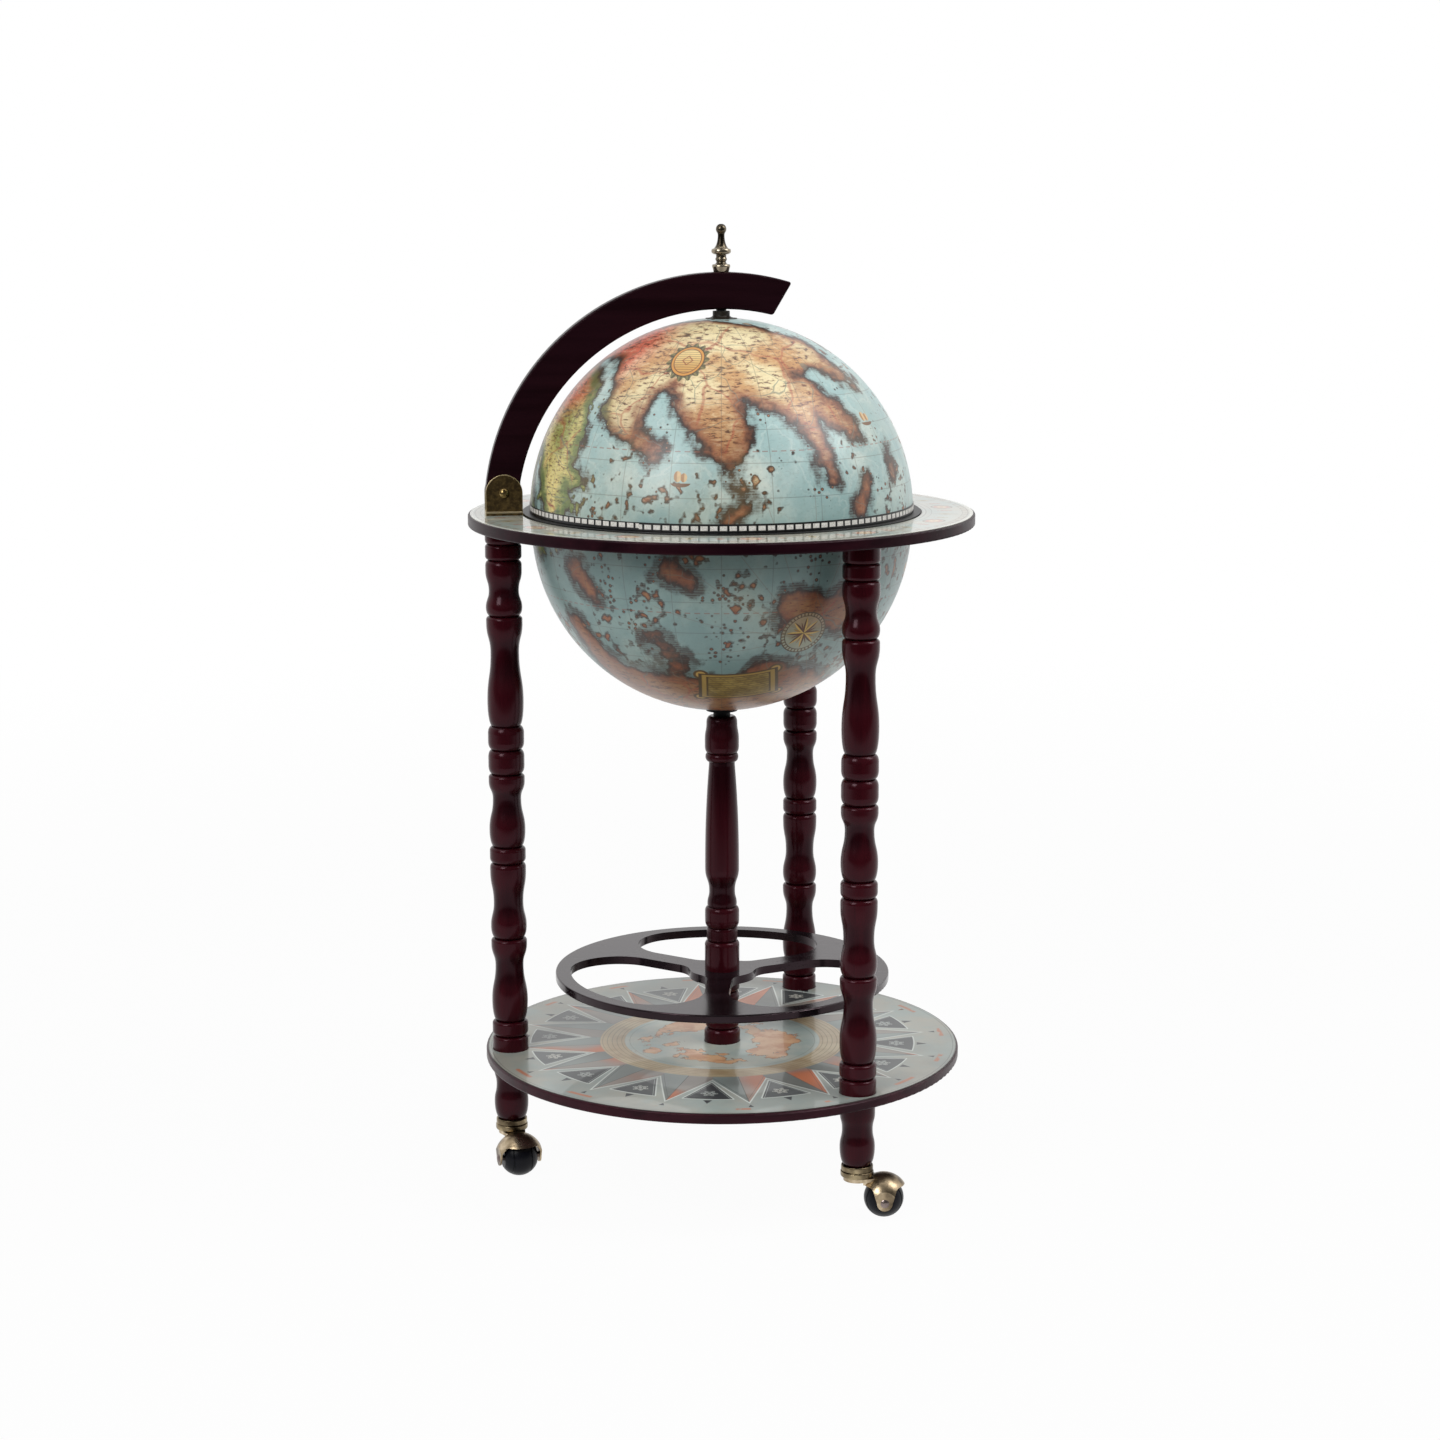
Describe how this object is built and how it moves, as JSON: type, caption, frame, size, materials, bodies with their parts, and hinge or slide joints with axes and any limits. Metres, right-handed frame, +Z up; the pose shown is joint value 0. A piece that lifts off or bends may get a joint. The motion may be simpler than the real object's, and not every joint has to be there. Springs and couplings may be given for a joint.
{
  "type": "globe bar",
  "caption": "Drinks cabinet shaped as a globe in a horizon ring: the upper half opens on a hinged arm, on turned legs with a bottle plate, a shelf and ball casters.",
  "frame": {"origin": "on the floor under the globe's vertical axis, which is the middle of the bounding box's base", "axes": "+Z up, the tallest extent; the arm's hinge is at -X, so the lid opens towards -X about a pin along Y"},
  "size_m": [0.4499, 0.45, 0.8536],
  "materials": {
    "mahogany": "turned hardwood, dark mahogany stain under semi-gloss lacquer",
    "dark_wood": "very dark mahogany stain under satin lacquer",
    "map_upper": "moulded half shell with an antique style map print under satin varnish",
    "map_lower": "moulded half shell with an antique style map print under satin varnish",
    "map_sheet": "printed laminate, glossy",
    "chart_sheet": "printed laminate with a compass rose, glossy",
    "black_plastic": "black moulded plastic",
    "bush_plastic": "dark moulded plastic",
    "antique_brass": "antique brass, rubbed bright on its edges",
    "dark_bronze": "dark bronze plating, worn bright on its edges",
    "rack_board": "stained board",
    "steel": "zinc plated steel",
    "ball_tyre": "hard black ball wheel"
  },
  "bodies": {
    "stand": {"horizon_ring": "mahogany", "ring_print": "map_sheet", "bowl_shell": "map_lower", "bowl_rim": "black_plastic", "bowl_boss": "antique_brass", "seat_bush": "black_plastic", "rack_top": "rack_board", "rack_base": "rack_board", "rack_posts": "rack_board", "column": "mahogany", "column_spool": "mahogany", "bottle_plate": "dark_wood", "tie_rod": "steel", "tie_nuts": "steel", "tie_washers": "steel", "shelf": "mahogany", "shelf_print": "chart_sheet", "leg_left": "mahogany", "leg_front": "mahogany", "leg_back": "mahogany", "foot_left": "mahogany", "foot_front": "mahogany", "foot_back": "mahogany", "leg_studs": "steel", "leg_screws": "steel", "hinge_bracket": "dark_bronze", "hinge_pin": "dark_bronze", "bracket_screws": "dark_bronze", "ferrule_left": "antique_brass", "ferrule_front": "antique_brass", "ferrule_back": "antique_brass"},
    "lid_arm": {"meridian_arm": "dark_wood", "finial": "antique_brass", "pivot_bolt": "steel", "thrust_washer": "black_plastic", "hanger_washer": "steel", "hanger_nut": "steel"},
    "dome": {"dome_shell": "map_upper", "dome_band": "black_plastic", "dome_boss": "black_plastic", "dome_inner_boss": "bush_plastic"},
    "caster_left": {"caster_hood_left": "antique_brass", "caster_axle_left": "antique_brass"},
    "ball_left": {"caster_ball_left": "ball_tyre"},
    "caster_front": {"caster_hood_front": "antique_brass", "caster_axle_front": "antique_brass"},
    "ball_front": {"caster_ball_front": "ball_tyre"},
    "caster_back": {"caster_hood_back": "antique_brass", "caster_axle_back": "antique_brass"},
    "ball_back": {"caster_ball_back": "ball_tyre"}
  },
  "joints": [
    {"name": "lid_hinge", "type": "hinge", "parent": "stand", "child": "lid_arm", "pos_m": [-0.1934, 0, 0.6216], "axis": [0, -1, 0], "range_deg": [0, 90]},
    {"name": "dome_spin", "type": "hinge", "parent": "lid_arm", "child": "dome", "pos_m": [0, 0, 0.772], "axis": [0, 0, 1], "continuous": true},
    {"name": "caster_left_swivel", "type": "hinge", "parent": "stand", "child": "caster_left", "pos_m": [-0.1944, 0, 0.03], "axis": [0, 0, 1], "continuous": true},
    {"name": "ball_left_roll", "type": "hinge", "parent": "caster_left", "child": "ball_left", "pos_m": [-0.18951, -0.02299, 0.0174], "axis": [-0.9781, -0.2079, 0], "continuous": true},
    {"name": "caster_front_swivel", "type": "hinge", "parent": "stand", "child": "caster_front", "pos_m": [0.0972, -0.16836, 0.03], "axis": [0, 0, 1], "continuous": true},
    {"name": "ball_front_roll", "type": "hinge", "parent": "caster_front", "child": "ball_front", "pos_m": [0.12051, -0.1713, 0.0174], "axis": [-0.1253, -0.9921, 0], "continuous": true},
    {"name": "caster_back_swivel", "type": "hinge", "parent": "stand", "child": "caster_back", "pos_m": [0.0972, 0.16836, 0.03], "axis": [0, 0, 1], "continuous": true},
    {"name": "ball_back_roll", "type": "hinge", "parent": "caster_back", "child": "ball_back", "pos_m": [0.09312, 0.1915, 0.0174], "axis": [0.9848, 0.1736, 0], "continuous": true}
  ]
}
